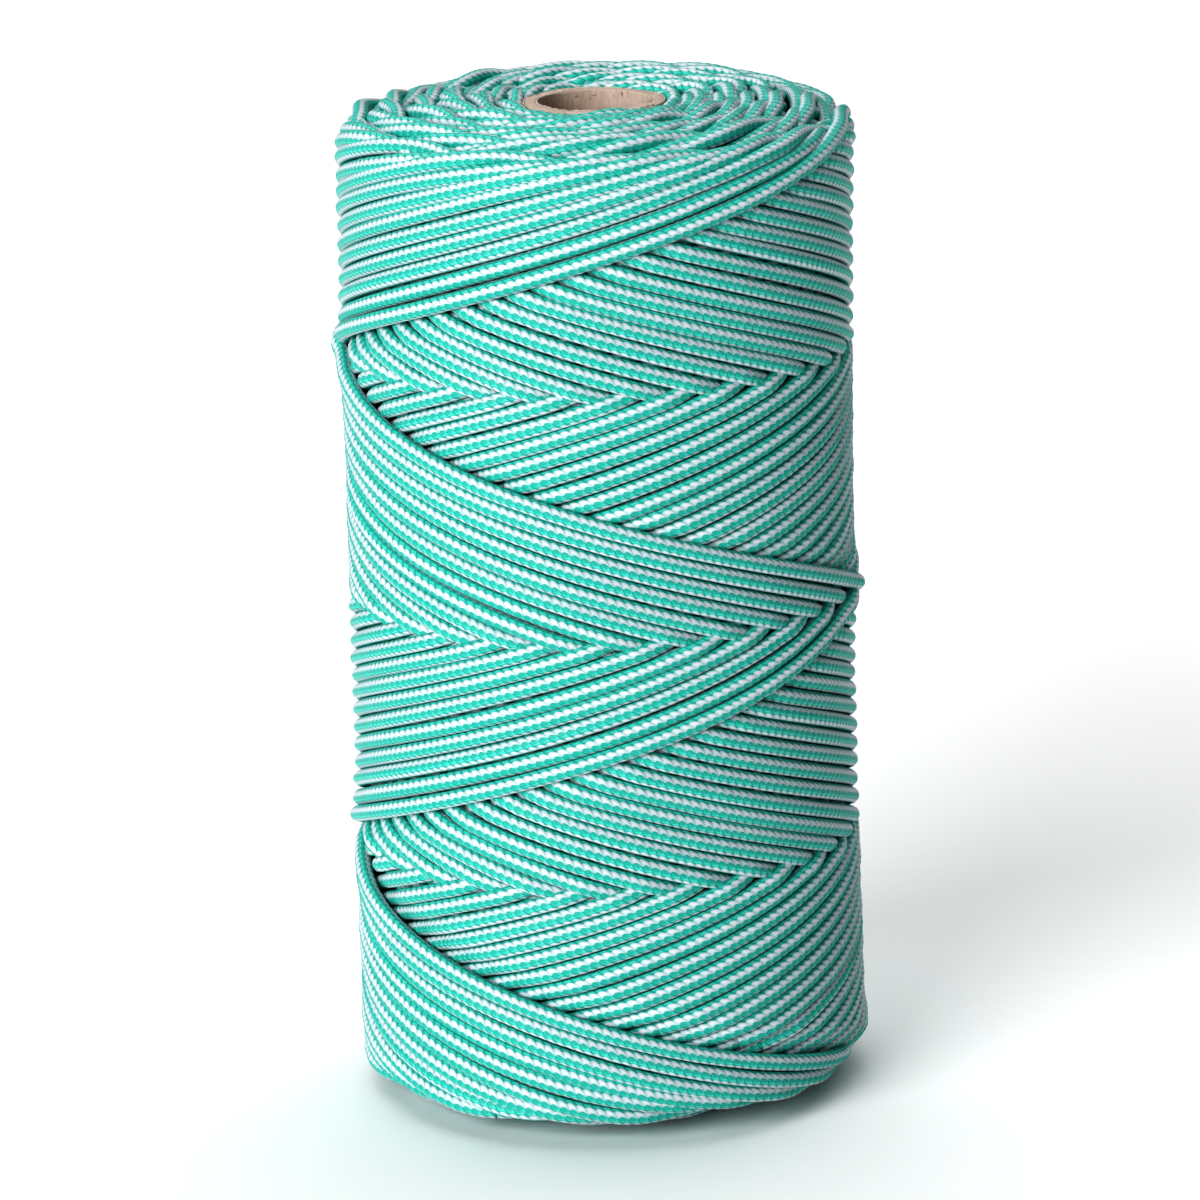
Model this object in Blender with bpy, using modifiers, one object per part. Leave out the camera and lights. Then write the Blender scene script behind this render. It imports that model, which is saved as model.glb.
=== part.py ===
"""Cross-wound package of braided cord on a spiral-wound cardboard tube.

The tube stands on end along +Z, with the origin at the centre of the base that the
package rests on. Each winding pass is one full cover of rising and falling cord turns,
drawn as the turned ring that the turns fill. The two ends of the cord lie in grooves
of the first and the last pass. All lengths are in metres.
"""

import math

import bmesh
import bpy
from mathutils import Vector

# Driving dimensions
CORD_DIAMETER = 0.004
PACKAGE_HEIGHT = 0.233
PACKAGE_RADIUS = 0.059
TUBE_BORE_RADIUS = 0.0127
TUBE_WALL = 0.0035
TUBE_RECESS = 0.003          # the tube ends sit this far inside the cord faces
PLY_THICKNESS = 0.0005       # liner ply and face ply
PASS_COUNT = 6
WAIST = 0.001                # the last pass is this much slimmer at mid height
SHOULDER_RADIUS = 0.006      # rounded ends of the last pass
EDGE_RADIUS = 0.0015         # rounded ends of the buried passes
GAP = 0.0003                 # clearance between touching pieces

# Cord ends
TRAVERSE_ANGLE = math.radians(18.5)    # slope of a turn on the package
INNER_END_HEIGHT = 0.030
INNER_END_ARC = math.radians(200)
OUTER_END_HEIGHT = 0.0935
OUTER_END_START = math.radians(70)     # at the back of the package
OUTER_END_ARC = math.radians(62)

TURN_STEPS = 48
TUBE_STEPS = 64
SHOULDER_STEPS = 5
EDGE_STEPS = 2
WAIST_STEPS = 5
END_POINTS = 20

CORD_GREEN = (0.010, 0.400, 0.280)
CORD_PALE = (0.620, 0.740, 0.720)
KRAFT_LIGHT = (0.560, 0.370, 0.235)
KRAFT_DARK = (0.430, 0.270, 0.165)

TUBE_RADIUS = TUBE_BORE_RADIUS + TUBE_WALL
WINDING_INNER_RADIUS = TUBE_RADIUS + GAP
PASS_PITCH = (PACKAGE_RADIUS - WINDING_INNER_RADIUS) / PASS_COUNT


def clear_scene():
    for item in list(bpy.data.objects):
        bpy.data.objects.remove(item, do_unlink=True)


def make_collection(name):
    group = bpy.data.collections.new(name)
    bpy.context.scene.collection.children.link(group)
    return group


def make_material(name, colour, roughness):
    material = bpy.data.materials.new(name)
    material.use_nodes = True
    shader = material.node_tree.nodes["Principled BSDF"]
    shader.inputs["Base Color"].default_value = (*colour, 1.0)
    shader.inputs["Roughness"].default_value = roughness
    shader.inputs["Metallic"].default_value = 0.0
    return material


def corner_arc(centre_r, centre_z, radius, start_degrees, steps):
    """Points of a quarter circle, turning clockwise from start_degrees."""
    points = []
    for i in range(steps + 1):
        angle = math.radians(start_degrees - 90.0 * i / steps)
        points.append((centre_r + radius * math.cos(angle), centre_z + radius * math.sin(angle)))
    return points


def ring_profile(inner, outer, low, high, edge, edge_steps, waist=0.0):
    """Closed outline at +X: down the outer side, in along the base and up the bore."""
    points = corner_arc(outer - edge, high - edge, edge, 90.0, edge_steps)
    if waist:
        for i in range(1, WAIST_STEPS):
            share = i / WAIST_STEPS
            height = high - edge - share * (high - low - 2.0 * edge)
            points.append((outer - waist * math.sin(math.pi * share), height))
    points += corner_arc(outer - edge, low + edge, edge, 0.0, edge_steps)
    points += [(inner, low), (inner, high)]
    return points


def turn_ring(name, profile, material, group, steps):
    """Revolve a closed outline about Z."""
    mesh = bpy.data.meshes.new(name)
    edges = [(i, (i + 1) % len(profile)) for i in range(len(profile))]
    mesh.from_pydata([(r, 0.0, z) for r, z in profile], edges, [])
    ring = bpy.data.objects.new(name, mesh)
    group.objects.link(ring)
    screw = ring.modifiers.new("turn", "SCREW")
    screw.axis = "Z"
    screw.angle = 2.0 * math.pi
    screw.steps = steps
    screw.render_steps = steps
    screw.use_merge_vertices = True
    screw.merge_threshold = 0.00001
    screw.use_smooth_shade = True
    mesh.materials.append(material)
    return ring


def wound_points(radius, start_angle, arc, start_height, slope):
    """Points of a short helical stretch of cord on a cylinder."""
    points = []
    for i in range(END_POINTS):
        turned = arc * i / (END_POINTS - 1)
        angle = start_angle + turned
        height = start_height + radius * turned * math.tan(slope)
        points.append(Vector((radius * math.cos(angle), radius * math.sin(angle), height)))
    return points


def cord_curve(name, points, diameter, group):
    data = bpy.data.curves.new(name, "CURVE")
    data.dimensions = "3D"
    data.bevel_depth = diameter / 2.0
    data.bevel_resolution = 2
    data.use_fill_caps = True
    spline = data.splines.new("POLY")
    spline.points.add(len(points) - 1)
    for point, place in zip(spline.points, points):
        point.co = (*place, 1.0)
    curve = bpy.data.objects.new(name, data)
    group.objects.link(curve)
    return curve


def curve_to_mesh(curve, group):
    """Replace a curve by a closed mesh of the same name, so that it can cut."""
    bpy.context.view_layer.update()
    name = curve.name
    evaluated = curve.evaluated_get(bpy.context.evaluated_depsgraph_get())
    mesh = bpy.data.meshes.new_from_object(evaluated)
    work = bmesh.new()
    work.from_mesh(mesh)
    bmesh.ops.remove_doubles(work, verts=work.verts, dist=0.00001)
    work.to_mesh(mesh)
    work.free()
    solid = bpy.data.objects.new(name, mesh)
    solid.matrix_world = curve.matrix_world
    bpy.data.objects.remove(curve, do_unlink=True)
    solid.name = name
    group.objects.link(solid)
    return solid


def lay_cord_end(name, host, points, material, parts, cutters):
    """A short cord end in a groove cut from the ring that holds it."""
    cord = cord_curve(name, points, CORD_DIAMETER, parts)
    cord.data.materials.append(material)
    run_on = (points[-1] - points[-2]).normalized() * 2.0 * GAP
    run_back = (points[0] - points[1]).normalized() * 2.0 * GAP
    longer = [points[0] + run_back] + points[1:-1] + [points[-1] + run_on]
    groove = cord_curve(name + "_groove", longer, CORD_DIAMETER + 2.0 * GAP, cutters)
    groove = curve_to_mesh(groove, cutters)
    groove.hide_render = True
    groove.display_type = "WIRE"
    cut = host.modifiers.new("groove", "BOOLEAN")
    cut.operation = "DIFFERENCE"
    cut.solver = "EXACT"
    cut.object = groove
    return cord


def build_tube(group):
    """Spiral-wound core: liner ply, wall plies and face ply, all cut to one length."""
    dark = make_material("kraft_wall", KRAFT_DARK, 0.9)
    light = make_material("kraft_face", KRAFT_LIGHT, 0.85)
    low = TUBE_RECESS
    high = PACKAGE_HEIGHT - TUBE_RECESS
    liner_outer = TUBE_BORE_RADIUS + PLY_THICKNESS
    face_inner = TUBE_RADIUS - PLY_THICKNESS
    chamfer = PLY_THICKNESS / 4.0
    plies = (
        ("core_tube_liner_ply", TUBE_BORE_RADIUS, liner_outer, light),
        ("core_tube_wall", liner_outer + GAP, face_inner - GAP, dark),
        ("core_tube_face_ply", face_inner, TUBE_RADIUS, light),
    )
    for name, inner, outer, material in plies:
        outline = ring_profile(inner, outer, low, high, chamfer, 1)
        turn_ring(name, outline, material, group, TUBE_STEPS)


def build_winding(parts, cutters):
    green = make_material("cord_green", CORD_GREEN, 0.6)
    pale = make_material("cord_end_pale", CORD_PALE, 0.6)
    rings = []
    for i in range(PASS_COUNT):
        inner = WINDING_INNER_RADIUS + i * PASS_PITCH
        last = i == PASS_COUNT - 1
        outer = PACKAGE_RADIUS if last else inner + PASS_PITCH - GAP
        if last:
            outline = ring_profile(inner, outer, 0.0, PACKAGE_HEIGHT,
                                   SHOULDER_RADIUS, SHOULDER_STEPS, WAIST)
        else:
            outline = ring_profile(inner, outer, 0.0, PACKAGE_HEIGHT, EDGE_RADIUS, EDGE_STEPS)
        rings.append(turn_ring(f"winding_pass_{i + 1}", outline, green, parts, TURN_STEPS))

    inner_route = wound_points(WINDING_INNER_RADIUS + GAP + CORD_DIAMETER / 2.0, 0.0,
                               INNER_END_ARC, INNER_END_HEIGHT, TRAVERSE_ANGLE)
    lay_cord_end("cord_inner_end", rings[0], inner_route, pale, parts, cutters)
    outer_route = wound_points(PACKAGE_RADIUS - CORD_DIAMETER / 2.0, OUTER_END_START,
                               OUTER_END_ARC, OUTER_END_HEIGHT, -TRAVERSE_ANGLE)
    lay_cord_end("cord_outer_end", rings[-1], outer_route, pale, parts, cutters)


def main():
    clear_scene()
    parts = make_collection("cord_package")
    cutters = make_collection("cutters")
    build_tube(parts)
    build_winding(parts, cutters)


main()
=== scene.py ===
"""Looks of a cross-wound package of two-tone braided cord on a cardboard tube.

The cord is one continuous path, worked out turn by turn as a winding machine lays it:
each cycle climbs the package and comes back down, and lands one cord's width further
round than the cycle before it. Where a rising and a falling turn cross, the one laid
later lies on top. The path is then drawn as closed tubes, with the braid's stitches as
real relief wherever the cord can show. All lengths are in metres.

pass     one full cover of rising and falling turns
cycle    a rising stroke and the falling stroke after it; a pass has LANES of them
stroke   one trip along the package, of family 0 if it rises and 1 if it falls
level    distance out from the tube, counted in half passes
wale     column of stitches round the cord
"""

import math
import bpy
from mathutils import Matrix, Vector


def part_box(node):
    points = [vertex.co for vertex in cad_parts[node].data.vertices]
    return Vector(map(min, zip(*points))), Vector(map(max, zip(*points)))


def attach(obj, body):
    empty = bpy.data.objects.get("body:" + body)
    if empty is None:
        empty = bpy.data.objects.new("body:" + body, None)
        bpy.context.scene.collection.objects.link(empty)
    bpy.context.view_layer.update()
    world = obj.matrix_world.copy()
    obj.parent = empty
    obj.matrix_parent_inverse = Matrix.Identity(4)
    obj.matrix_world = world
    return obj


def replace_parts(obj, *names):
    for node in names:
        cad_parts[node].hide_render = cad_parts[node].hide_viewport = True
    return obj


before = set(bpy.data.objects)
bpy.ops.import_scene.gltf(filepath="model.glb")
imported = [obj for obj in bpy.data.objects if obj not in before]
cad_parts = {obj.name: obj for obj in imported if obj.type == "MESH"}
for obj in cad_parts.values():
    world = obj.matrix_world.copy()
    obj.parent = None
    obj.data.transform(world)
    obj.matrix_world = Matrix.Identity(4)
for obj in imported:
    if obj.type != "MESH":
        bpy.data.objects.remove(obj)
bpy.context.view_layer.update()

from types import SimpleNamespace

import bpy
import numpy as np
from mathutils import Matrix, Vector

TWO_PI = 2.0 * math.pi

# ---------------------------------------------------------------- sizes from the frame
PASS_COUNT = 6
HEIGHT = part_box(f"winding_pass_{PASS_COUNT}")[1][2]
PACKAGE_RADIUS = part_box(f"winding_pass_{PASS_COUNT}")[1][0]
TUBE_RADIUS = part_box("core_tube_face_ply")[1][0]
TUBE_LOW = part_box("core_tube_face_ply")[0][2]
TUBE_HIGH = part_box("core_tube_face_ply")[1][2]
PLY_THICKNESS = 0.0005
BORE_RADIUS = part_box("core_tube_liner_ply")[1][0] - PLY_THICKNESS

# ---------------------------------------------------------------- the winding
CORD_DIAMETER = 0.004
LANES = (20, 23, 25, 26, 27, 27)       # cycles in each pass, inside to outside
STROKE_TURNS = 2                       # turns in one stroke, before the lane's share
LEVEL = (PACKAGE_RADIUS - TUBE_RADIUS) / (2 * PASS_COUNT)   # radial step between levels
PER_CROSSING = 4                       # height samples from one crossing to the next
PULL_DOWN_RADIUS = 0.012               # how sharply tension bends the cord off a crossing
HALF_OVER = 0.5                        # level of a reversal, half over the one before it
REVERSAL = 0.016                       # half length of a turn's reversal at the ends
END_GAP = 0.0002                       # clearance between the cord and the end faces
LOW_DROP = (0.0000, 0.0000, 0.0003, 0.0008, 0.0020, 0.0048)    # how far each pass stops
HIGH_DROP = (0.0015, 0.0007, 0.0004, 0.0008, 0.0018, 0.0042)   # short of the end faces
END_SPREAD = 0.0012                    # scatter of the reversals along the tube
SPREAD_REACH = 0.11                    # how far that scatter runs into a stroke, in turns
REACH_SHARES = (0.6, 1.6)              # least and most of it
INWARD_PULL = 0.0016                   # reversals slip this far in over the end face
PULL_SHARES = (0.2, 1.8)               # least and most of it
LANE_DRIFT = 0.00022                   # slow unevenness of the lane spacing
DRIFT_LANES = 4                        # lanes from one knot of it to the next
WINDING_SEED = 7
DRIFT_SEED = 100
OUTER_END_TURN = 3.402                 # where the last cycle stops, in turns

# ---------------------------------------------------------------- the package's outline
SHOULDER = 0.0080                      # rounded edge of the outer levels
WAIST = 0.0011                         # slimmer at mid height
WAIST_LEAN = 0.9                       # and this share more so on the +X side
BASE_SAG = 0.0022                      # the outer turns hang lower at the base on the -X side
SAG_REACH = 0.018                      # height over which that fades
FRESH_LIFT = (0.08, 0.18, 0.34)        # levels that the newest cycles stand proud
NEWEST_TWIST = math.radians(-20)       # turn of the braid on the last two rising strokes

# Samples from knot to knot, size and seed of the small unevenness along the cord
RADIUS_NOISE = (40, 0.00010, 1)
HEIGHT_NOISE = (90, 0.00010, 2)
TWIST_NOISE = (600, math.radians(10), 3)

# ---------------------------------------------------------------- the cord's braid
STITCH = 0.00215                       # length of one stitch
WALES = 8                              # columns of stitches round the cord
BASE_RADIUS = 0.00181
LOBE = 0.00006                         # crown of each column
BUMP = 0.00010                         # crown of each stitch
SLANT = 0.50                           # each column's stitches lie this share of a stitch back
TOOTH = 0.36                           # how far a stitch reaches over the next column
TOOTH_MEAN = 2.0 / math.pi
NARROW = 0.02                          # white columns are this much narrower at each edge
TWIST = math.radians(7)                # where the first column's edge lies, above the outside

ROUND = 16                             # vertices round a cord that shows, two to a column
STEPS_PER_STITCH = 4                   # path samples in one stitch
SAMPLE_STEP = STITCH / STEPS_PER_STITCH
LEVEL_SMOOTHING = 4 * STEPS_PER_STITCH + 1
TWIST_SMOOTHING = 201
COARSE_ROUND = 8                       # vertices round a buried cord
COARSE_STEP = 0.003                    # distance between its rings
END_ZONE = 0.010                       # full detail within this distance of the end faces
SHOWS_ABOVE = 0.03                     # full detail where this share of the cord lies on top
SHORTEST_BURIED = 3 * STEPS_PER_STITCH

# Gaps in the map that a bake uses
STRIP_GAP = CORD_DIAMETER / 5
ROW_MARGIN = 0.03


# ---------------------------------------------------------------- small helpers
def eased(x):
    """Smooth step from 0 to 1."""
    return x * x * (3.0 - 2.0 * x)


def ramp(x):
    """Smooth step that rests for the first and the last twentieth."""
    rest = 0.05
    return eased(np.clip((x - rest) / (1.0 - 2.0 * rest), 0.0, 1.0))


def smooth_noise(count, knots, scale, seed):
    """Slowly varying noise over count samples, one knot per so many samples."""
    random = np.random.default_rng(seed)
    n = max(4, int(count / knots) + 3)
    values = random.normal(0.0, scale, n)
    x = np.linspace(0.0, n - 1.001, count)     # just short of the last knot
    i = x.astype(int)
    f = eased(x - i)
    return values[i] * (1.0 - f) + values[i + 1] * f


def smoothed(values, width):
    """Moving average over an odd number of samples, with the ends held."""
    padded = np.pad(values, width // 2, mode="edge")
    return np.convolve(padded, np.ones(width) / width, mode="valid")


def unit(vectors):
    return vectors / np.linalg.norm(vectors, axis=1)[:, None]


# ---------------------------------------------------------------- heights at the crossings
def taut_heights(supports, spacing):
    """Levels of a taut cord over its supports, leaving each one in a shallow curve."""
    place = np.arange(len(supports)) * spacing / PER_CROSSING
    curve = place ** 2 / (2.0 * PULL_DOWN_RADIUS)
    lifted = supports * LEVEL - curve
    hull = [0]
    for k in range(1, len(place)):
        while len(hull) > 1:
            a, b = hull[-2], hull[-1]
            rise = (lifted[b] - lifted[a]) * (place[k] - place[a])
            if rise > (lifted[k] - lifted[a]) * (place[b] - place[a]):
                break
            hull.pop()
        hull.append(k)
    return (np.interp(place, place[hull], lifted[hull]) + curve) / LEVEL


def end_supports(cycle, family, lanes):
    """Levels of a stroke's two reversals, at the top and at the base."""
    top = HALF_OVER
    if cycle == 0:
        top = 0.0
    elif cycle == lanes - 1:
        top = 1.0
    base = 0.0 if cycle == 0 and family == 0 else HALF_OVER
    return top, base


def pass_heights(lanes, spacing):
    """Levels of every rising and falling stroke of a pass, and where each lies over.

    Crossings are counted from the top. At crossing c the rising stroke of cycle i meets
    the falling stroke of cycle i - c, counted round the lanes.
    """
    crossings = 2 * STROKE_TURNS * lanes + 1
    index = np.arange(1, crossings)
    size = crossings * PER_CROSSING + 1
    level = np.zeros((2, lanes, size))
    over = np.zeros((2, lanes, crossings + 1))
    for cycle in range(lanes):
        for family in (0, 1):
            if family == 0:
                other = (cycle - index) % lanes
                laid = other < cycle
            else:
                other = (cycle + index) % lanes
                laid = other <= cycle
            supports = np.zeros(size)
            at = index[laid] * PER_CROSSING
            supports[at] = level[1 - family, other[laid], at] + 1.0
            supports[0], supports[-1] = end_supports(cycle, family, lanes)
            level[family, cycle] = taut_heights(supports, spacing)
            over[family, cycle, index] = laid
            over[family, cycle, 0] = 1.0
            over[family, cycle, -1] = 1.0
    return level, over


# ---------------------------------------------------------------- the strokes in laying order
def reversals(p, random):
    """Scatter, reach and inward pull of a pass's reversals, low ones then high ones."""
    size = (2, LANES[p] + 1)
    scatter = np.abs(random.normal(0.0, END_SPREAD, size))
    reach = SPREAD_REACH * random.uniform(*REACH_SHARES, size)
    pull = INWARD_PULL * random.uniform(*PULL_SHARES, size)
    return np.stack([scatter, reach, pull], -1)


def pass_shape(p):
    """What all the strokes of a pass share."""
    lanes = LANES[p]
    mean_radius = TUBE_RADIUS + (2 * p + 1) * LEVEL
    turns = STROKE_TURNS + 0.5 / lanes
    length = math.hypot(turns * TWO_PI * mean_radius, HEIGHT)
    crossings = 2 * STROKE_TURNS * lanes + 1
    level, over = pass_heights(lanes, length / crossings)
    inset = CORD_DIAMETER / 2 + END_GAP
    drift = []
    for family in (0, 1):
        drift.append(smooth_noise(lanes, DRIFT_LANES, LANE_DRIFT, DRIFT_SEED + 10 * p + family))
    return SimpleNamespace(
        number=p,
        lanes=lanes,
        turns=turns,
        turned=np.linspace(0.0, turns, int(length / SAMPLE_STEP), endpoint=False),
        crossings=crossings,
        level=level,
        over=over,
        bend=REVERSAL / (TWO_PI * mean_radius),
        lowest=inset + LOW_DROP[p],
        highest=HEIGHT - inset - HIGH_DROP[p],
        drift=drift,
    )


def stroke_heights(from_low, from_high, shape):
    """Height of one trip along the package, with a rounded reversal at each end."""
    low, high, bend = shape.lowest, shape.highest, shape.bend
    turns = from_low + from_high
    slope = (high - low) / (turns - 2.0 * bend)
    climbed = low + slope * (np.sqrt(from_low ** 2 + bend ** 2) - bend)
    left = high - slope * (np.sqrt(from_high ** 2 + bend ** 2) - bend)
    blend = ramp(from_low / turns)
    return climbed * (1.0 - blend) + left * blend


def lay_stroke(shape, cycle, family, low_reversal, high_reversal):
    """Named arrays along one stroke, given the scatter, reach and pull of its reversals."""
    turned, turns = shape.turned, shape.turns
    from_low = turned if family == 0 else turns - turned
    from_high = turns - turned if family == 0 else turned
    low_scatter, low_reach, low_pull = low_reversal
    high_scatter, high_reach, high_pull = high_reversal
    low_end = np.exp(-(from_low / low_reach) ** 2)
    high_end = np.exp(-(from_high / high_reach) ** 2)
    z = stroke_heights(from_low, from_high, shape)
    z = z + shape.drift[family][cycle] * (1.0 - low_end) * (1.0 - high_end)
    z = z + low_scatter * low_end - high_scatter * high_end

    from_top = shape.crossings * from_high / turns
    grid = np.arange(shape.level.shape[2]) / PER_CROSSING
    near = np.clip(from_top.astype(int), 0, shape.crossings - 1)
    f = ramp(from_top - near)
    over = shape.over[family, cycle]
    pulled_low = low_pull * np.exp(-(from_low / shape.bend) ** 2)
    pulled_high = high_pull * np.exp(-(from_high / shape.bend) ** 2)
    return {
        "turn": cycle / shape.lanes + family * turns + turned,
        "z": z,
        "level": 2 * shape.number + np.interp(from_top, grid, shape.level[family, cycle]),
        "over": over[near] * (1.0 - f) + over[near + 1] * f,
        "pull": pulled_high + pulled_low,
        "pass": np.full(len(turned), shape.number),
        "cycle": np.full(len(turned), cycle),
        "family": np.full(len(turned), family),
    }


def wind_package():
    """Every stroke in laying order, as named arrays along the cord."""
    random = np.random.default_rng(WINDING_SEED)
    strokes = []
    joint = None
    for p, lanes in enumerate(LANES):
        shape = pass_shape(p)
        low, high = reversals(p, random)
        if joint is not None:
            low[0] = joint
        for cycle in range(lanes):
            for family in (0, 1):
                strokes.append(lay_stroke(shape, cycle, family, low[cycle + family], high[cycle]))
        joint = low[lanes]
    return {key: np.concatenate([stroke[key] for stroke in strokes]) for key in strokes[0]}


def cut_outer_end(rows):
    """Leave off what lies past the cord's outer end."""
    last = (rows["pass"] == PASS_COUNT - 1) & (rows["cycle"] == LANES[-1] - 1)
    start = (LANES[-1] - 1) / LANES[-1]
    keep = ~(last & (rows["turn"] - start > OUTER_END_TURN))
    return {key: value[keep] for key, value in rows.items()}


# ---------------------------------------------------------------- the path of the cord
def cord_levels(rows):
    """Level of every sample, with the newest cycles standing a little proud."""
    fresh = np.zeros(LANES[-1])
    fresh[-len(FRESH_LIFT):] = FRESH_LIFT
    newness = np.where(rows["pass"] == PASS_COUNT - 1, fresh[rows["cycle"]], 0.0)
    return smoothed(rows["level"] + newness, LEVEL_SMOOTHING)


def cord_path(rows, angle):
    """Centre line of the whole cord."""
    z = rows["z"]
    level = cord_levels(rows)
    outerness = (level / (2 * PASS_COUNT)) ** 3
    edge = np.maximum(0.0, SHOULDER - np.minimum(z, HEIGHT - z))
    waist = WAIST * (1.0 + WAIST_LEAN * np.cos(angle)) * np.sin(math.pi * z / HEIGHT)
    radius = TUBE_RADIUS + (level + 0.5) * LEVEL
    radius -= (SHOULDER - np.sqrt(SHOULDER ** 2 - edge ** 2)) * outerness
    radius -= waist * outerness
    radius -= rows["pull"] * np.clip(level / 2.0, 0.0, 1.0)
    radius += smooth_noise(len(z), *RADIUS_NOISE)
    z = z + smooth_noise(len(z), *HEIGHT_NOISE)
    z -= BASE_SAG * 0.5 * (1.0 - np.cos(angle)) * np.exp(-(z / SAG_REACH) ** 2) * outerness
    return np.stack([radius * np.cos(angle), radius * np.sin(angle), z], 1)


def outward_and_up(path, angle):
    """Unit vectors square to the cord, away from the tube and along it."""
    tangent = unit(np.gradient(path, axis=0))
    out = np.stack([np.cos(angle), np.sin(angle), np.zeros(len(angle))], 1)
    out = unit(out - tangent * (out * tangent).sum(1)[:, None])
    return out, np.cross(out, tangent)


def braid_twist(rows):
    """How far the braid is turned about the cord at every sample."""
    newest = (rows["pass"] == PASS_COUNT - 1) & (rows["cycle"] >= LANES[-1] - 2)
    turned = np.where(newest & (rows["family"] == 0), NEWEST_TWIST, 0.0)
    return TWIST + smooth_noise(len(turned), *TWIST_NOISE) + smoothed(turned, TWIST_SMOOTHING)


rows = cut_outer_end(wind_package())
angle = TWO_PI * rows["turn"]
path = cord_path(rows, angle)
out, up = outward_and_up(path, angle)
twist = braid_twist(rows)
steps = np.linalg.norm(np.diff(path, axis=0), axis=1)
along = np.concatenate([[0.0], np.cumsum(steps)])


# ---------------------------------------------------------------- meshes of the cord
def braid_radius(stitches, wale):
    """Radius of the cord at a place along it and round it."""
    lobe = np.abs(np.cos(math.pi * (stitches + SLANT * wale)))
    warped = wale - TOOTH * (lobe - TOOTH_MEAN) - NARROW * np.cos(math.pi * wale)
    across = warped - np.floor(warped) - 0.5
    crown = 1.0 - (2.0 * across) ** 2
    return BASE_RADIUS + LOBE * crown + BUMP * np.sqrt(np.maximum(crown, 0.0)) * lobe


def runs_of(mask):
    """First and one-past-last index of each unbroken stretch where mask holds."""
    edges = np.diff(np.concatenate([[0], mask.astype(np.int8), [0]]))
    return list(zip(np.flatnonzero(edges == 1), np.flatnonzero(edges == -1)))


def stretches_where(mask, step_samples):
    """Path samples of each unbroken stretch, joined to its neighbours by one sample."""
    result = []
    for first, last in runs_of(mask):
        first = max(first - 1, 0)
        last = min(last + 1, len(mask))
        index = np.arange(first, last, step_samples)
        if index[-1] != last - 1:
            index = np.append(index, last - 1)
        if len(index) > 1:
            result.append(index)
    return result


def ring_points(index, sides, fine):
    """Vertices of the rings round the cord at the given samples."""
    k = np.arange(sides)[None, :]
    psi = twist[index][:, None] + TWO_PI * k / sides
    if fine:
        r = braid_radius((along[index] / STITCH)[:, None], k * WALES / sides)
    else:
        r = np.full((len(index), sides), BASE_RADIUS + LOBE)
    outwards = (r * np.cos(psi))[:, :, None] * out[index][:, None, :]
    upwards = (r * np.sin(psi))[:, :, None] * up[index][:, None, :]
    return (path[index][:, None, :] + outwards + upwards).reshape(-1, 3)


def ring_quads(base, n, sides):
    """Faces between n rings of vertices, the first of which is numbered base."""
    k = np.arange(sides)[None, :]
    next_k = (k + 1) % sides
    ring = base + np.arange(n - 1)[:, None] * sides
    corners = [ring + k, ring + sides + k, ring + sides + next_k, ring + next_k]
    return np.stack(corners, -1).reshape(-1, 4)


def corners_along(start, end, sides):
    """Corner values in each face of something that changes along the cord."""
    a = np.repeat(start[:, None], sides, 1)
    b = np.repeat(end[:, None], sides, 1)
    return np.stack([a, b, b, a], -1).reshape(-1, 4)


def corners_round(start, step, lengths):
    """Corner values in each face of something that changes round the cord."""
    a = np.repeat(start, lengths, 0)
    return np.stack([a, a, a + step, a + step], -1).reshape(-1, 4)


def packed_rows(u, v, travelled):
    """Lay one long strip of cord surface out as rows in the unit square."""
    girth = TWO_PI * (BASE_RADIUS + LOBE)
    longest = float((u[:, 1] - u[:, 0]).max())
    row_count = max(1, math.ceil(math.sqrt(travelled / girth)))
    row_length = travelled / row_count + longest
    scale = 1.0 / max(row_length + longest, row_count * girth)
    row = np.floor(u[:, :1] / row_length)
    packed_v = (row + ROW_MARGIN + v * (1.0 - 2.0 * ROW_MARGIN)) * girth * scale
    return (u - row * row_length) * scale, packed_v


def mesh_from_arrays(name, verts, quads, caps, layers):
    """A mesh of quads and end caps with its UV layers."""
    mesh = bpy.data.meshes.new(name)
    cap_corners = np.concatenate(caps)
    corners = np.concatenate([quads.reshape(-1), cap_corners])
    cap_starts = len(quads) * 4 + np.arange(len(caps)) * len(caps[0])
    starts = np.concatenate([np.arange(len(quads)) * 4, cap_starts])
    mesh.vertices.add(len(verts))
    mesh.vertices.foreach_set("co", verts.astype(np.float32).ravel())
    mesh.loops.add(len(corners))
    mesh.loops.foreach_set("vertex_index", corners.astype(np.int32))
    mesh.polygons.add(len(quads) + len(caps))
    mesh.polygons.foreach_set("loop_start", starts.astype(np.int32))
    cap_uv = np.zeros((len(cap_corners), 2))
    for layer, (u, v) in layers.items():
        uv = mesh.uv_layers.new(name=layer)
        flat = np.concatenate([np.stack([u, v], -1).reshape(-1, 2), cap_uv])
        uv.data.foreach_set("uv", flat.astype(np.float32).ravel())
    mesh.update(calc_edges=True)
    mesh.shade_smooth()
    return mesh


def place_piece(name, mesh, material):
    """Put a mesh in the scene as a piece of the package."""
    mesh.materials.append(material)
    piece = bpy.data.objects.new(name, mesh)
    bpy.context.scene.collection.objects.link(piece)
    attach(piece, "root")
    return piece


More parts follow.
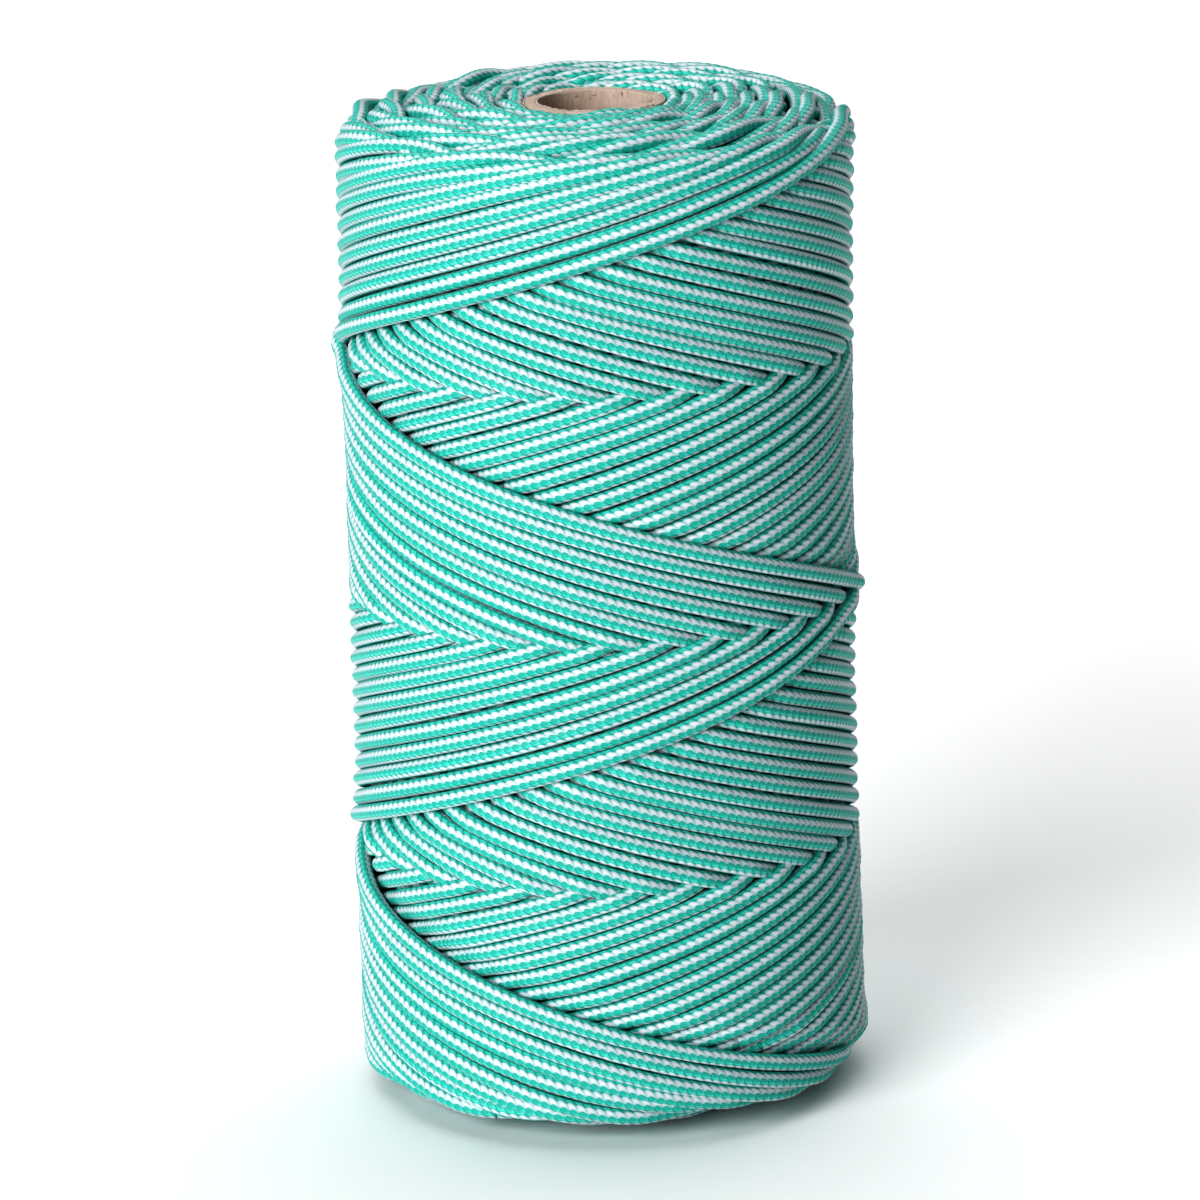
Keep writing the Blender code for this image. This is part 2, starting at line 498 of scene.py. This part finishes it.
def tube_piece(name, stretches, sides, fine, material):
    """One mesh of closed tubes, one for each list of path samples."""
    verts, quads, caps = [], [], []
    strand_u, strand_v, bake_u, bake_v = [], [], [], []
    k = np.arange(sides)[None, :]
    base = 0
    travelled = 0.0
    for index in stretches:
        n = len(index)
        verts.append(ring_points(index, sides, fine))
        quads.append(ring_quads(base, n, sides))
        caps.append(base + np.arange(sides))
        caps.append(base + (n - 1) * sides + np.arange(sides)[::-1])
        stitches = along[index] / STITCH
        strand_u.append(corners_along(stitches[:-1], stitches[1:], sides))
        strand_v.append(corners_round(k * WALES / sides, WALES / sides, n - 1))
        reach = along[index] - along[index[0]]
        begin = travelled + reach[:-1]
        bake_u.append(corners_along(begin, begin + np.diff(reach), sides))
        bake_v.append(corners_round(k / sides, 1.0 / sides, n - 1))
        travelled += reach[-1] + STRIP_GAP
        base += n * sides
    bake_map = packed_rows(np.concatenate(bake_u), np.concatenate(bake_v), travelled)
    layers = {
        "strand": (np.concatenate(strand_u), np.concatenate(strand_v)),
        "OFBake": bake_map,
    }
    mesh = mesh_from_arrays(name, np.concatenate(verts), np.concatenate(quads), caps, layers)
    return place_piece(name, mesh, material)


# ---------------------------------------------------------------- materials
class Nodes:
    """Short calls for building a node tree."""

    def __init__(self, name):
        self.material = bpy.data.materials.new(name)
        self.material.use_nodes = True
        self.tree = self.material.node_tree
        self.shader = self.tree.nodes["Principled BSDF"]

    def add(self, kind, **settings):
        node = self.tree.nodes.new(kind)
        for key, value in settings.items():
            setattr(node, key, value)
        return node

    def feed(self, socket, value):
        """Link a socket, or set its value."""
        if isinstance(value, bpy.types.NodeSocket):
            self.tree.links.new(value, socket)
        else:
            socket.default_value = value

    def math(self, operation, a, b=0.0, c=None, clamp=False):
        node = self.add("ShaderNodeMath", operation=operation, use_clamp=clamp)
        self.feed(node.inputs[0], a)
        self.feed(node.inputs[1], b)
        if c is not None:
            self.feed(node.inputs[2], c)
        return node.outputs[0]

    def mix(self, factor, a, b):
        node = self.add("ShaderNodeMix", data_type="RGBA")
        self.feed(node.inputs[0], factor)
        self.feed(node.inputs[6], a)
        self.feed(node.inputs[7], b)
        return node.outputs[2]

    def noise(self, vector, scale, detail, roughness=0.5):
        node = self.add("ShaderNodeTexNoise")
        self.feed(node.inputs["Vector"], vector)
        node.inputs["Scale"].default_value = scale
        node.inputs["Detail"].default_value = detail
        node.inputs["Roughness"].default_value = roughness
        return node.outputs[0]

    def position(self):
        return self.add("ShaderNodeNewGeometry").outputs["Position"]

    def surface(self, colour, roughness, specular):
        self.feed(self.shader.inputs["Base Color"], colour)
        self.shader.inputs["Roughness"].default_value = roughness
        self.shader.inputs["Specular IOR Level"].default_value = specular

    def bump(self, height, distance, strength):
        node = self.add("ShaderNodeBump")
        node.inputs["Strength"].default_value = strength
        node.inputs["Distance"].default_value = distance
        self.feed(node.inputs["Height"], height)
        self.feed(self.shader.inputs["Normal"], node.outputs[0])


# Colours are scene-linear. A stitch runs from a painted shade at its edges and in the creases
# between columns to its own colour on its crown; the white's painted shade has a cyan cast. Green
# stitches also have a painted shadow in a core just off the crown, where the yarn dives under.
GREEN_CREASE_SHADE = (0.004, 0.230, 0.190, 1.0)
GREEN_BRIGHT = (0.150, 0.730, 0.630, 1.0)
GREEN_CORE_SHADE = (0.010, 0.310, 0.250, 1.0)
GREEN_PATCH = (0.010, 0.460, 0.400, 1.0)
WHITE_CREASE_SHADE = (0.27, 0.47, 0.48, 1.0)
WHITE_BRIGHT = (0.65, 0.68, 0.71, 1.0)
CORE_SHADE_SHARE = 0.75
PATCH_SHARE = 0.25
PATCH_SCALE = 90.0
CORE_ALONG = (-0.05, 0.34)             # centre and half length of the painted core shade, in stitches
CORE_ACROSS = (0.16, 0.42)             # centre and half width of the painted core shade, in wales
CORE_EDGE = 1.8                        # sharpness of its edge
CROWN_POWER = 0.65                     # below 1 the crown is broad
YARNS = 5.0                            # yarns side by side in one column
YARN_RELIEF = 0.06                     # their share of the stitch's own relief


def stitch_nodes(n):
    """The braid of braid_radius as nodes: crown, the mask of the painted core shade, yarn lines,
    and odd for green.
    """
    split = n.add("ShaderNodeSeparateXYZ")
    n.feed(split.inputs[0], n.add("ShaderNodeUVMap", uv_map="strand").outputs[0])
    stitches, wale = split.outputs[0], split.outputs[1]
    lean = n.math("MULTIPLY_ADD", wale, SLANT, stitches)
    lobe = n.math("ABSOLUTE", n.math("COSINE", n.math("MULTIPLY", lean, math.pi)))
    reach = n.math("MULTIPLY", n.math("SUBTRACT", lobe, TOOTH_MEAN), TOOTH)
    narrowing = n.math("MULTIPLY", n.math("COSINE", n.math("MULTIPLY", wale, math.pi)), NARROW)
    warped = n.math("SUBTRACT", n.math("SUBTRACT", wale, reach), narrowing)
    column = n.math("FLOOR", warped)
    across = n.math("SUBTRACT", n.math("SUBTRACT", warped, column), 0.5)
    odd = n.math("FLOORED_MODULO", column, 2.0)

    # Height of a stitch: it drives the bump, and also the painted shade at the stitch's edges and
    # creases
    squared = n.math("MULTIPLY", across, across)
    crown = n.math("SUBTRACT", 1.0, n.math("MULTIPLY", squared, 4.0))
    round_top = n.math("POWER", n.math("MAXIMUM", crown, 0.0), 0.5)
    rise = n.math("MULTIPLY", n.math("POWER", lobe, CROWN_POWER), round_top)

    # painted shade: mask of the darker core in each stitch, where the yarn dives under
    inside = n.math("SUBTRACT", n.math("FRACT", n.math("ADD", lean, 0.5)), 0.5)
    along_core = n.math("DIVIDE", n.math("SUBTRACT", inside, CORE_ALONG[0]), CORE_ALONG[1])
    across_core = n.math("DIVIDE", n.math("SUBTRACT", across, CORE_ACROSS[0]), CORE_ACROSS[1])
    off_core = n.math("ADD", n.math("MULTIPLY", along_core, along_core),
                      n.math("MULTIPLY", across_core, across_core))
    core = n.math("MULTIPLY", n.math("SUBTRACT", 1.0, off_core), CORE_EDGE, clamp=True)

    hand = n.math("SUBTRACT", 1.0, n.math("MULTIPLY", odd, 2.0))
    lines = n.math("ADD", n.math("MULTIPLY", wale, YARNS), n.math("MULTIPLY", stitches, hand))
    yarn = n.math("SINE", n.math("MULTIPLY", lines, TWO_PI))
    return SimpleNamespace(rise=rise, core=core, yarn=yarn, odd=odd)


def cord_material():
    """Alternate white and green columns of stitches."""
    n = Nodes("braided_cord")
    stitch = stitch_nodes(n)
    patch = n.noise(n.position(), scale=PATCH_SCALE, detail=1.0)
    # painted shade: the green darkens towards each stitch's edges and the creases between columns
    green = n.mix(stitch.rise, GREEN_CREASE_SHADE, GREEN_BRIGHT)
    # painted shadow in the core of each green stitch
    green = n.mix(n.math("MULTIPLY", stitch.core, CORE_SHADE_SHARE), green, GREEN_CORE_SHADE)
    green = n.mix(n.math("MULTIPLY", patch, PATCH_SHARE), green, GREEN_PATCH)
    # painted shade: the white darkens to a cyan-grey at each stitch's edges and the creases
    # between columns
    white = n.mix(stitch.rise, WHITE_CREASE_SHADE, WHITE_BRIGHT)
    n.surface(n.mix(stitch.odd, white, green), roughness=0.42, specular=0.25)
    relief = n.math("ADD", stitch.rise, n.math("MULTIPLY", stitch.yarn, YARN_RELIEF))
    n.bump(relief, distance=0.00012, strength=0.6)
    return n.material


KRAFT_LIGHT = (0.65, 0.55, 0.49, 1.0)
KRAFT_DARK = (0.45, 0.36, 0.30, 1.0)
KRAFT_SPECK = (0.16, 0.09, 0.05, 1.0)
FIBRE_TURN = 0.4                       # radians that the fibres are turned about the tube
FIBRE_STRETCH = (1.0, 1.0, 0.25)
FIBRE_SHARE = 0.6                      # the rest of the tone is mottling
TONE_GAIN = 2.2
TONE_OFFSET = -0.6
SPECK_LIMIT = 0.72                     # noise above this makes a speck
SPECK_SHARE = 0.5


def kraft_material(name):
    """Matt kraft paper: long fibres, mottling, darker specks and a fine tooth."""
    n = Nodes(name)
    place = n.position()
    turned = n.add("ShaderNodeMapping")
    turned.inputs["Rotation"].default_value = (0.0, 0.0, FIBRE_TURN)
    turned.inputs["Scale"].default_value = FIBRE_STRETCH
    n.feed(turned.inputs["Vector"], place)
    fibre = n.noise(turned.outputs[0], scale=1500.0, detail=4.0, roughness=0.65)
    mottle = n.noise(place, scale=160.0, detail=3.0, roughness=0.6)
    tone = n.math("ADD", n.math("MULTIPLY", fibre, FIBRE_SHARE),
                  n.math("MULTIPLY", mottle, 1.0 - FIBRE_SHARE))
    tone = n.math("MULTIPLY_ADD", tone, TONE_GAIN, TONE_OFFSET, clamp=True)
    speck = n.math("GREATER_THAN", n.noise(place, scale=900.0, detail=1.0), SPECK_LIMIT)
    colour = n.mix(tone, KRAFT_DARK, KRAFT_LIGHT)
    colour = n.mix(n.math("MULTIPLY", speck, SPECK_SHARE), colour, KRAFT_SPECK)
    n.surface(colour, roughness=0.9, specular=0.2)
    n.bump(tone, distance=0.0002, strength=0.7)
    return n.material


# ---------------------------------------------------------------- the cord's pieces
def shown_in_full():
    """Which samples get full detail: near the end faces, and on top in the last pass."""
    near_end = np.minimum(rows["z"], HEIGHT - rows["z"]) < END_ZONE
    fine = near_end | ((rows["pass"] == PASS_COUNT - 1) & (rows["over"] > SHOWS_ABOVE))
    for first, last in runs_of(~fine):
        if last - first < SHORTEST_BURIED:
            fine[first:last] = True
    return fine


def cord_pieces():
    """Buried turns in plain detail, and everything that shows in full detail."""
    cord = cord_material()
    fine = shown_in_full()
    pass_of = rows["pass"]
    coarse_samples = int(COARSE_STEP / SAMPLE_STEP)
    halves = {"top": path[:, 2] > HEIGHT / 2, "bottom": path[:, 2] <= HEIGHT / 2}
    buried = []
    for p in range(PASS_COUNT):
        hidden = stretches_where((pass_of == p) & ~fine, coarse_samples)
        name = f"pass_{p + 1}_buried_turns"
        buried.append(tube_piece(name, hidden, COARSE_ROUND, False, cord))
        if p < PASS_COUNT - 1:
            for where, half in halves.items():
                loops = stretches_where((pass_of == p) & fine & half, 1)
                tube_piece(f"pass_{p + 1}_{where}_loops", loops, ROUND, True, cord)

    shown = (pass_of == PASS_COUNT - 1) & fine
    pair_of = rows["cycle"] // 2
    for pair in range((LANES[-1] + 1) // 2):
        turns = stretches_where(shown & (pair_of == pair), 1)
        newest = tube_piece(f"outer_turns_{pair + 1}", turns, ROUND, True, cord)

    for p, piece in enumerate(buried):
        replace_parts(piece, f"winding_pass_{p + 1}")
    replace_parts(buried[0], "cord_inner_end")
    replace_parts(newest, "cord_outer_end")


cord_pieces()


# ---------------------------------------------------------------- the cardboard tube
TUBE_AROUND = 192                      # vertices round the tube
TUBE_ROWS = 120                        # rings up the bore, enough to show the seam
SEAM_PITCH = 0.075                     # rise of the spiral paper seam in one turn
SEAM_DEPTH = 0.00012
SEAM_WIDTH = 0.006                     # half width of the seam, as a share of its pitch
LIP = 0.00018                          # rounding of the cut ends
BORE_TOP = 0.0006                      # the even rings stop this far below the cut end
CUT_BACK = 0.0002                      # room for the unevenness of the cut end
CUT_WAVES = (9, 0.00010)               # waves round the cut end and their size
FRAY_WAVES = (60, 0.00007)
TUBE_AZIMUTH = TWO_PI * np.arange(TUBE_AROUND) / TUBE_AROUND


def periodic_noise(waves, scale, seed):
    """Noise that closes on itself round the tube."""
    random = np.random.default_rng(seed)
    total = np.zeros(TUBE_AROUND)
    for k in range(1, waves + 1):
        total += random.normal() * np.cos(k * TUBE_AZIMUTH + random.uniform(0.0, TWO_PI))
    return scale * total / max(float(total.std()), 1e-9)


def ply_rings(inner, outer, seam_depth, seed):
    """Rings of one ply as (radius, height): up the bore, over the cut end, down outside."""
    uneven = periodic_noise(*CUT_WAVES, seed)
    high = TUBE_HIGH - CUT_BACK + uneven + periodic_noise(*FRAY_WAVES, seed + 1)
    low = TUBE_LOW
    rings = []
    for h in np.linspace(low + LIP, TUBE_HIGH - BORE_TOP, TUBE_ROWS):
        phase = (h / SEAM_PITCH - TUBE_AZIMUTH / TWO_PI) % 1.0
        gap = np.exp(-((np.minimum(phase, 1.0 - phase)) / SEAM_WIDTH) ** 2)
        rings.append((inner + seam_depth * gap, h))
    rings += [
        (inner, high - LIP),
        (inner + 0.3 * LIP, high - 0.3 * LIP),
        (inner + LIP, high),
        (outer - LIP, high - 0.2 * LIP),
        (outer - 0.3 * LIP, high - 0.5 * LIP),
        (outer, high - 1.5 * LIP),
        (outer, low + LIP),
        (outer - LIP, low),
        (inner + LIP, low),
    ]
    return rings


def ring_mesh(name, rings):
    """Close a stack of rings into one solid."""
    verts = []
    for radius, height in rings:
        radii = np.broadcast_to(radius, TUBE_AROUND)
        heights = np.broadcast_to(height, TUBE_AROUND)
        for r, h, t in zip(radii, heights, TUBE_AZIMUTH):
            verts.append((float(r * math.cos(t)), float(r * math.sin(t)), float(h)))
    faces = []
    for j in range(len(rings)):
        here = j * TUBE_AROUND
        above = ((j + 1) % len(rings)) * TUBE_AROUND
        for i in range(TUBE_AROUND):
            next_i = (i + 1) % TUBE_AROUND
            faces.append((here + i, here + next_i, above + next_i, above + i))
    mesh = bpy.data.meshes.new(name)
    mesh.from_pydata(verts, [], faces)
    mesh.shade_smooth()
    return mesh


def tube_pieces():
    """Liner, wall and face plies; only the liner's seam shows."""
    liner_edge = BORE_RADIUS + PLY_THICKNESS
    face_edge = TUBE_RADIUS - PLY_THICKNESS
    plies = (
        ("liner", "core_tube_liner_ply", BORE_RADIUS, liner_edge, SEAM_DEPTH, 11),
        ("wall", "core_tube_wall", liner_edge, face_edge, 0.0, 12),
        ("face", "core_tube_face_ply", face_edge, TUBE_RADIUS, 0.0, 13),
    )
    for ply, node, inner, outer, seam_depth, seed in plies:
        name = f"tube_{ply}"
        slot = f"kraft_{ply}"
        mesh = ring_mesh(name, ply_rings(inner, outer, seam_depth, seed))
        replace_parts(place_piece(name, mesh, kraft_material(slot)), node)


tube_pieces()


# ---------------------------------------------------------------- floor, light and camera
CENTRE = Vector((0.0, 0.0, HEIGHT / 2))
FLOOR_REACH = 20.0
FLOOR_COLOUR = (0.97, 0.97, 0.97, 1.0)
WORLD_STRENGTH = 0.05
CAMERA_DISTANCE = 25.7 * PACKAGE_RADIUS
CAMERA_ELEVATION = math.radians(14.45)
CAMERA_ROLL = math.radians(-1.3)
CAMERA_SHIFT = (-0.0042, -0.0115)
SENSOR_WIDTH = 36.0
LENS = SENSOR_WIDTH * 5.50


def plain(name, colour, roughness):
    material = bpy.data.materials.new(name)
    material.use_nodes = True
    shader = material.node_tree.nodes["Principled BSDF"]
    shader.inputs["Base Color"].default_value = colour
    shader.inputs["Roughness"].default_value = roughness
    return material


def lay_floor():
    mesh = bpy.data.meshes.new("floor")
    corners = [(-1, -1), (1, -1), (1, 1), (-1, 1)]
    verts = [(FLOOR_REACH * x, FLOOR_REACH * y, 0) for x, y in corners]
    mesh.from_pydata(verts, [], [(0, 1, 2, 3)])
    mesh.materials.append(plain("floor", FLOOR_COLOUR, roughness=0.9))
    floor = bpy.data.objects.new("floor", mesh)
    bpy.context.scene.collection.objects.link(floor)


def add_sun(name, place, angle_degrees, strength):
    """A soft sun that shines from place towards the package's centre."""
    light = bpy.data.lights.new(name, "SUN")
    light.angle = math.radians(angle_degrees)
    light.energy = strength
    sun = bpy.data.objects.new(name, light)
    sun.location = place
    sun.rotation_euler = (CENTRE - Vector(place)).to_track_quat("-Z", "Y").to_euler()
    bpy.context.scene.collection.objects.link(sun)


def set_lights():
    world = bpy.data.worlds.new("studio")
    bpy.context.scene.world = world
    world.use_nodes = True
    background = world.node_tree.nodes["Background"]
    background.inputs["Color"].default_value = (1.0, 1.0, 1.0, 1.0)
    background.inputs["Strength"].default_value = WORLD_STRENGTH
    add_sun("key", place=(-1.0, -1.42, 0.66), angle_degrees=42.0, strength=2.50)
    add_sun("back", place=(0.1, 1.0, 1.85), angle_degrees=80.0, strength=1.42)


def set_camera():
    data = bpy.data.cameras.new("camera")
    data.sensor_width = SENSOR_WIDTH
    data.lens = LENS
    data.clip_end = 50.0
    data.shift_x, data.shift_y = CAMERA_SHIFT
    camera = bpy.data.objects.new("camera", data)
    look = Vector((0.0, math.cos(CAMERA_ELEVATION), -math.sin(CAMERA_ELEVATION)))
    camera.matrix_world = (Matrix.Translation(CENTRE - look * CAMERA_DISTANCE)
                           @ look.to_track_quat("-Z", "Y").to_matrix().to_4x4()
                           @ Matrix.Rotation(CAMERA_ROLL, 4, "Z"))
    bpy.context.scene.collection.objects.link(camera)
    bpy.context.scene.camera = camera
    bpy.context.scene.view_settings.view_transform = "Standard"
    bpy.context.scene.view_settings.look = "Very High Contrast"


lay_floor()
set_lights()
set_camera()
